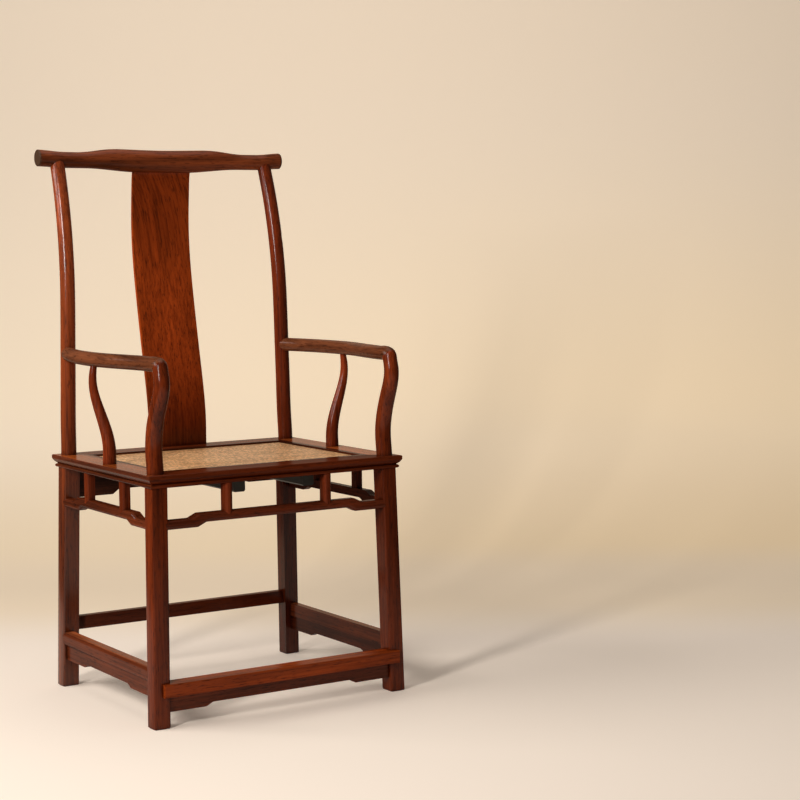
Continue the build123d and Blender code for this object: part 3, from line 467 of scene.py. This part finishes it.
def dress_stretchers_and_aprons():
    dress(hardwood("wood_footrest", ALONG_X, 10.0, FOOTREST, polish=0.22), "footrest")
    dress(hardwood("wood_long_bars", ALONG_X, 10.5, LONG_BARS),
          "humpback_stretcher_front", "foot_stretcher_rear")
    dress(hardwood("wood_side_humpbacks", ALONG_Y, 11.0, SIDE_BARS), *both("humpback_stretcher"))
    dress(hardwood("wood_side_bars", ALONG_Y, 11.2, SIDE_BARS, top_light=FOOT_TOP_SHEEN),
          *both("foot_stretcher"))
    dress(hardwood("wood_foot_apron_right", ALONG_Y, 11.5, SIDE_BARS), "foot_apron_right")
    dress(hardwood("wood_foot_apron_left", ALONG_Y, 11.8, DARK_APRON), "foot_apron_left")
    dress(hardwood("wood_foot_apron", ALONG_X, 12.0, FRONT_APRON), "foot_apron_front")
    dress(hardwood("wood_rear_apron", ALONG_X, 12.5, REAR_APRON_PAINTED_SHADE), "rear_apron")


# ---------------------------------------------------------------- studio
def make_camera():
    camera = bpy.data.objects.new("camera", bpy.data.cameras.new("camera"))
    bpy.context.scene.collection.objects.link(camera)
    camera.data.lens = CAMERA_LENS
    camera.data.shift_x = CAMERA_SHIFT_RIGHT
    camera.data.shift_y = CAMERA_SHIFT_UP
    tilt = Matrix.Rotation(pi / 2 - CAMERA_PITCH, 4, "X")
    roll = Matrix.Rotation(-CAMERA_ROLL, 4, "Z")
    camera.matrix_world = Matrix.Translation(CAMERA_PLACE) @ HEADING @ tilt @ roll
    bpy.context.scene.camera = camera


def sweep_profile():
    """The sweep from its front edge to its top, as pairs of how far away and how high."""
    profile = [(SWEEP_FRONT, 0.0)]
    for step in range(SWEEP_STEPS + 1):
        angle = pi / 2 * step / SWEEP_STEPS
        away = SWEEP_START + SWEEP_RADIUS * sin(angle)
        profile.append((away, SWEEP_RADIUS * (1 - cos(angle))))
    profile.append((SWEEP_START + SWEEP_RADIUS, SWEEP_HEIGHT))
    return profile


def make_sweep():
    """Floor, curve and wall of one paper sweep, square to the camera. Its own X runs to the camera's
    right and its own Y away from the camera."""
    points = []
    faces = []
    for number, (away, height) in enumerate(sweep_profile()):
        points += [(side, away, height) for side in (SWEEP_LEFT, SWEEP_RIGHT)]
        if number:
            first = 2 * number - 2
            faces.append((first, first + 1, first + 3, first + 2))
    mesh = bpy.data.meshes.new("sweep")
    mesh.from_pydata(points, [], faces)
    mesh.polygons.foreach_set("use_smooth", [True] * len(faces))
    mesh.materials.append(paper())
    sweep = bpy.data.objects.new("sweep", mesh)
    sweep.matrix_world = HEADING
    bpy.context.scene.collection.objects.link(sweep)


def paper():
    """Cream paper with painted light: paler towards the right, warmer in a low band, darker at the foot of
    the wall as painted shade, and a painted glow. The camera and reflections see it paler than what lights
    the chair."""
    graph = Surface("cream_paper")
    parts = graph.axes(graph.place())
    seen = graph.mix("MIX", graph.fade(parts["Z"], *FLOOR_TO_WALL), CREAM_FLOOR, CREAM)
    side = graph.math("MULTIPLY_ADD", parts["X"], PAINTED_LIGHT_GAIN, PAINTED_LIGHT_MIDDLE)
    seen = graph.mix("MULTIPLY", 1.0, seen, side)
    band_foot = graph.fade(parts["Z"], *BAND_FOOT)
    light_band = graph.math("MULTIPLY", band_foot, graph.fade(parts["Z"], *BAND_TOP))
    seen = graph.mix("MULTIPLY", light_band, seen, PAINTED_LIGHT_BAND)
    warm_light = graph.math("MULTIPLY", light_band, graph.fade(parts["X"], *WARM_ACROSS))
    seen = graph.mix("MULTIPLY", warm_light, seen, PAINTED_WARM_LIGHT)
    beyond = graph.fade(parts["Y"], *FAR_FROM)
    far_shade = graph.math("MULTIPLY", beyond, graph.fade(parts["Z"], *FAR_BELOW))
    seen = graph.mix("MULTIPLY", far_shade, seen, PAINTED_FAR_SHADE)
    shown = graph.math("MAXIMUM", *graph.onlookers())
    graph.feed(graph.shader, "Base Color", graph.mix("MIX", shown, CREAM_BOUNCE, seen))
    graph.feed(graph.shader, "Emission Color", CREAM_FLOOR)
    graph.feed(graph.shader, "Emission Strength", graph.math("MULTIPLY", shown, PAINTED_GLOW))
    graph.shader.inputs["Roughness"].default_value = PAPER_ROUGHNESS
    graph.shader.inputs["Specular IOR Level"].default_value = 0.0
    return graph.material


def softbox(name, place, target, size, power):
    """A rectangular lamp that faces a point."""
    light = bpy.data.lights.new(name, "AREA")
    light.shape = "RECTANGLE"
    light.size, light.size_y = size
    light.energy = power
    lamp = bpy.data.objects.new(name, light)
    bpy.context.scene.collection.objects.link(lamp)
    lamp.location = place
    lamp.rotation_euler = (Vector(target) - Vector(place)).to_track_quat("-Z", "Y").to_euler()


def from_camera_side(azimuth, distance, height):
    """A place around the chair. Azimuth 0 is towards the camera, positive to its right."""
    angle = radians(azimuth)
    return HEADING @ Vector((sin(angle) * distance, -cos(angle) * distance, height))


def light_studio():
    """A tall softbox to the left of the camera, a wide one further left and one overhead."""
    softbox("key", from_camera_side(*KEY_PLACE), LAMP_TARGET, KEY_SIZE, KEY_POWER)
    softbox("side", from_camera_side(*SIDE_PLACE), LAMP_TARGET, SIDE_SIZE, SIDE_POWER)
    softbox("top", (0.0, 0.0, TOP_HEIGHT), FLOOR_TARGET, TOP_SIZE, TOP_POWER)


def make_surround():
    """A dim room. The camera sees it cream beyond the paper, and the polish and clear pieces see a faint
    share of that."""
    world = bpy.data.worlds.new("studio")
    bpy.context.scene.world = world
    world.use_nodes = True
    graph = Graph(world.node_tree)
    room = graph.tree.nodes["Background"]
    room.inputs["Color"].default_value = WORLD_COLOUR
    room.inputs["Strength"].default_value = WORLD_STRENGTH
    cream = graph.node("ShaderNodeBackground", {"Color": SURROUND})
    camera, mirrored = graph.onlookers()
    shown = graph.math("MULTIPLY_ADD", mirrored, ROOM_REFLECTION, camera)
    sources = {"Fac": shown, 1: room.outputs["Background"], 2: cream.outputs["Background"]}
    choice = graph.node("ShaderNodeMixShader", sources)
    graph.feed(graph.tree.nodes["World Output"], "Surface", choice.outputs["Shader"])


dress_uprights()
dress_back_and_arms()
dress_seat()
dress_stretchers_and_aprons()
make_camera()
make_sweep()
light_studio()
make_surround()
bpy.context.scene.view_settings.view_transform = "Standard"
